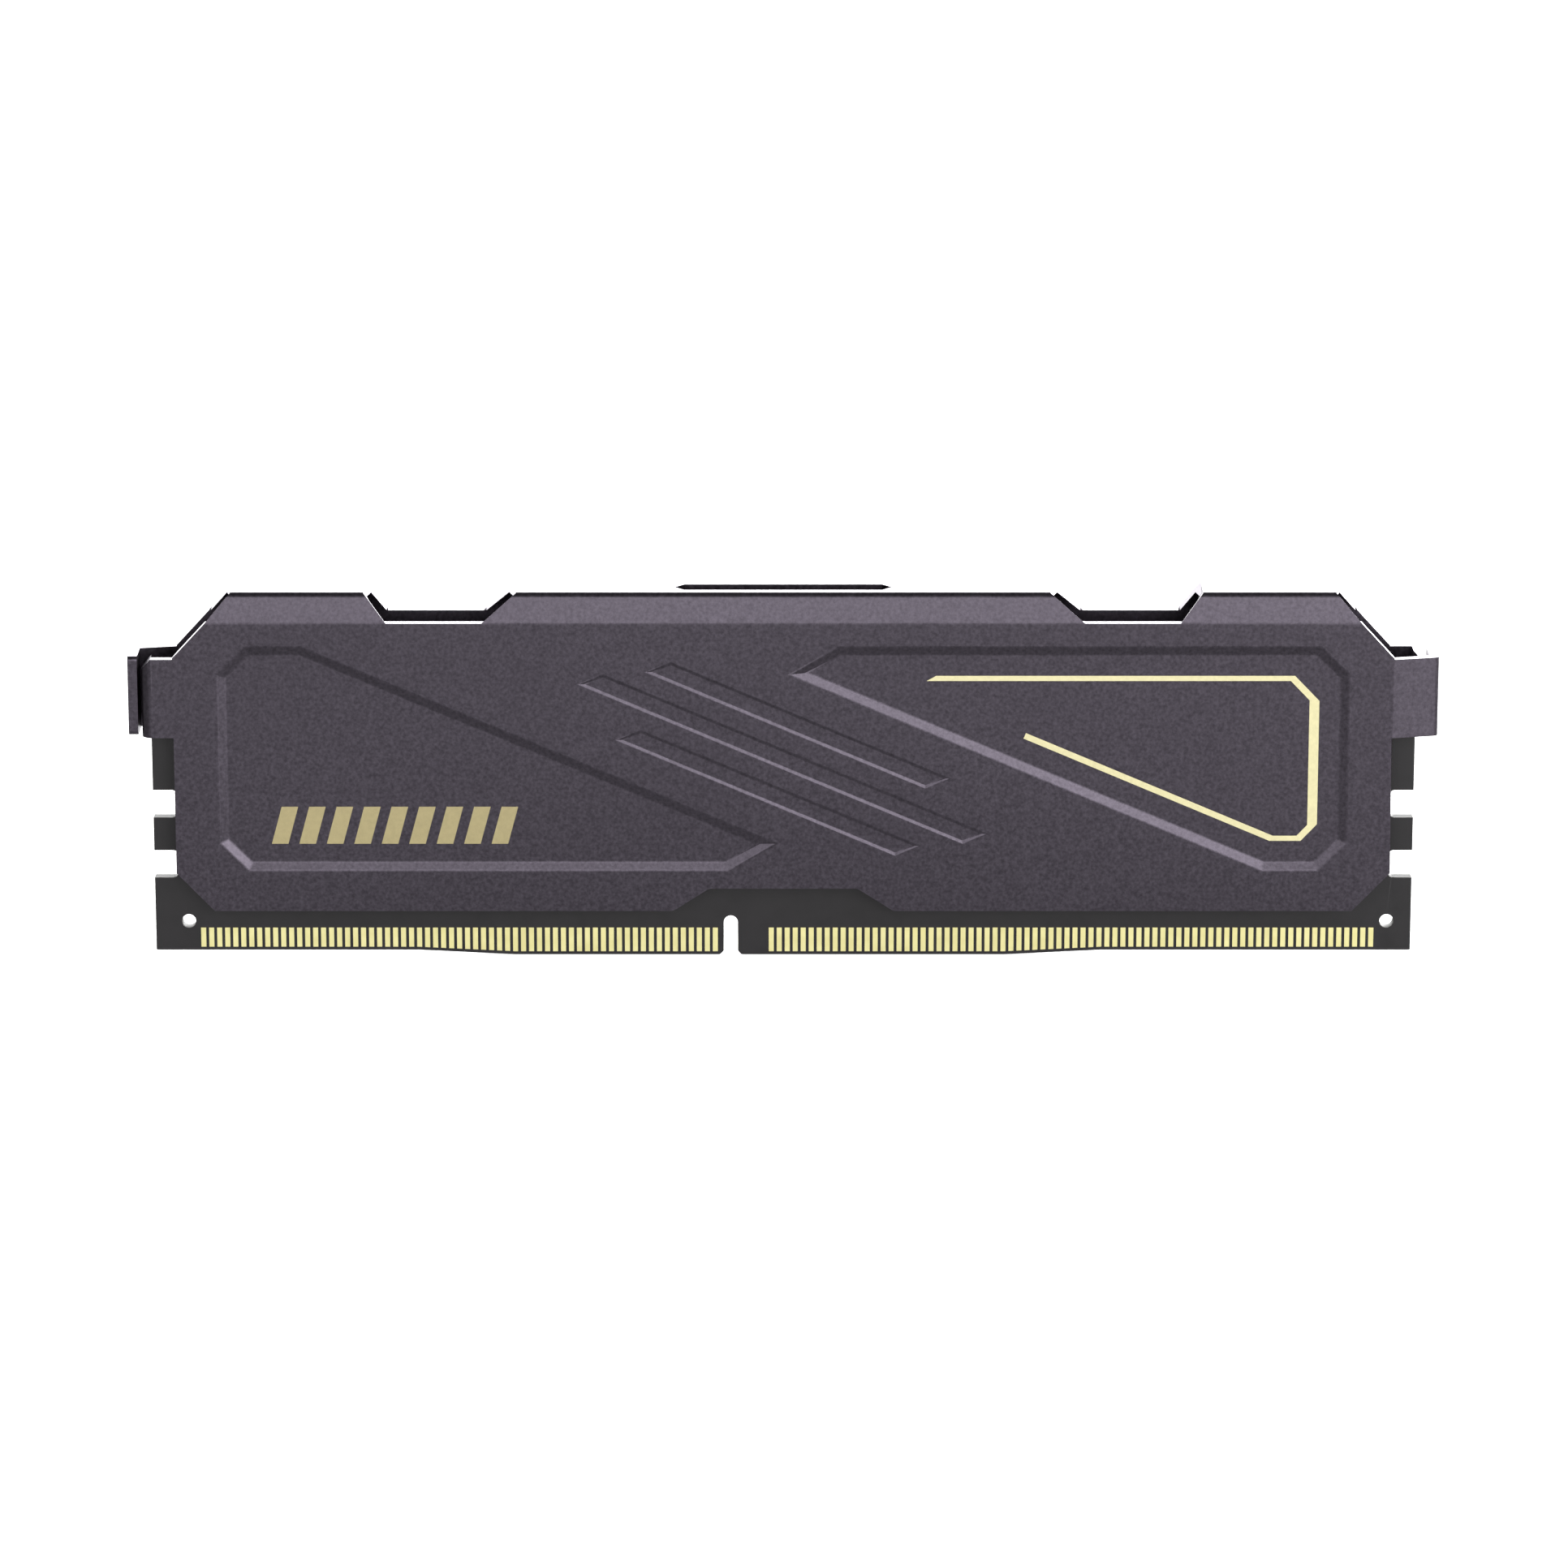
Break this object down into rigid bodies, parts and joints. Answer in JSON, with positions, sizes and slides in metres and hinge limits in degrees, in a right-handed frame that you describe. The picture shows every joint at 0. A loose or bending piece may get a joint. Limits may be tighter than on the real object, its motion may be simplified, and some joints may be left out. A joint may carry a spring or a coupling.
{
  "type": "memory module",
  "caption": "Desktop memory module: a notched circuit board with an edge connector, memory chips and a two-shell sheet-metal heat spreader.",
  "frame": {"origin": "middle of the module's length and thickness, level with the lowest part of the contact edge", "axes": "+X along the card, +Y out of the rear face, +Z from the contact edge to the top"},
  "size_m": [0.1378, 0.007, 0.04],
  "materials": {
    "spreader_anodised": "dark grey bead-blasted anodised sheet",
    "solder_mask": "near-black satin solder mask on glass-epoxy laminate",
    "contact_gold": "bright gold plating",
    "chip_package": "matt black moulding compound",
    "capacitor_ceramic": "tan multilayer ceramic with tinned ends",
    "resistor_body": "black glazed alumina chip",
    "thermal_pad": "soft grey silicone pad",
    "accent_print": "pale gold printed accent, a film on the spreader's face"
  },
  "bodies": {
    "root": {"circuit_board": "solder_mask", "presence_detect_memory": "chip_package", "contacts_left_front": "contact_gold", "contacts_right_front": "contact_gold", "memory_chip_front_1": "chip_package", "memory_chip_front_2": "chip_package", "memory_chip_front_3": "chip_package", "memory_chip_front_4": "chip_package", "memory_chip_front_5": "chip_package", "memory_chip_front_6": "chip_package", "memory_chip_front_7": "chip_package", "memory_chip_front_8": "chip_package", "decoupling_capacitors_front": "capacitor_ceramic", "bulk_capacitors_front": "capacitor_ceramic", "resistor_networks_front": "resistor_body", "thermal_pad_front": "thermal_pad", "heat_spreader_front": "spreader_anodised", "contacts_left_rear": "contact_gold", "contacts_right_rear": "contact_gold", "memory_chip_rear_1": "chip_package", "memory_chip_rear_2": "chip_package", "memory_chip_rear_3": "chip_package", "memory_chip_rear_4": "chip_package", "memory_chip_rear_5": "chip_package", "memory_chip_rear_6": "chip_package", "memory_chip_rear_7": "chip_package", "memory_chip_rear_8": "chip_package", "decoupling_capacitors_rear": "capacitor_ceramic", "bulk_capacitors_rear": "capacitor_ceramic", "resistor_networks_rear": "resistor_body", "thermal_pad_rear": "thermal_pad", "heat_spreader_rear": "spreader_anodised"}
  },
  "joints": []
}
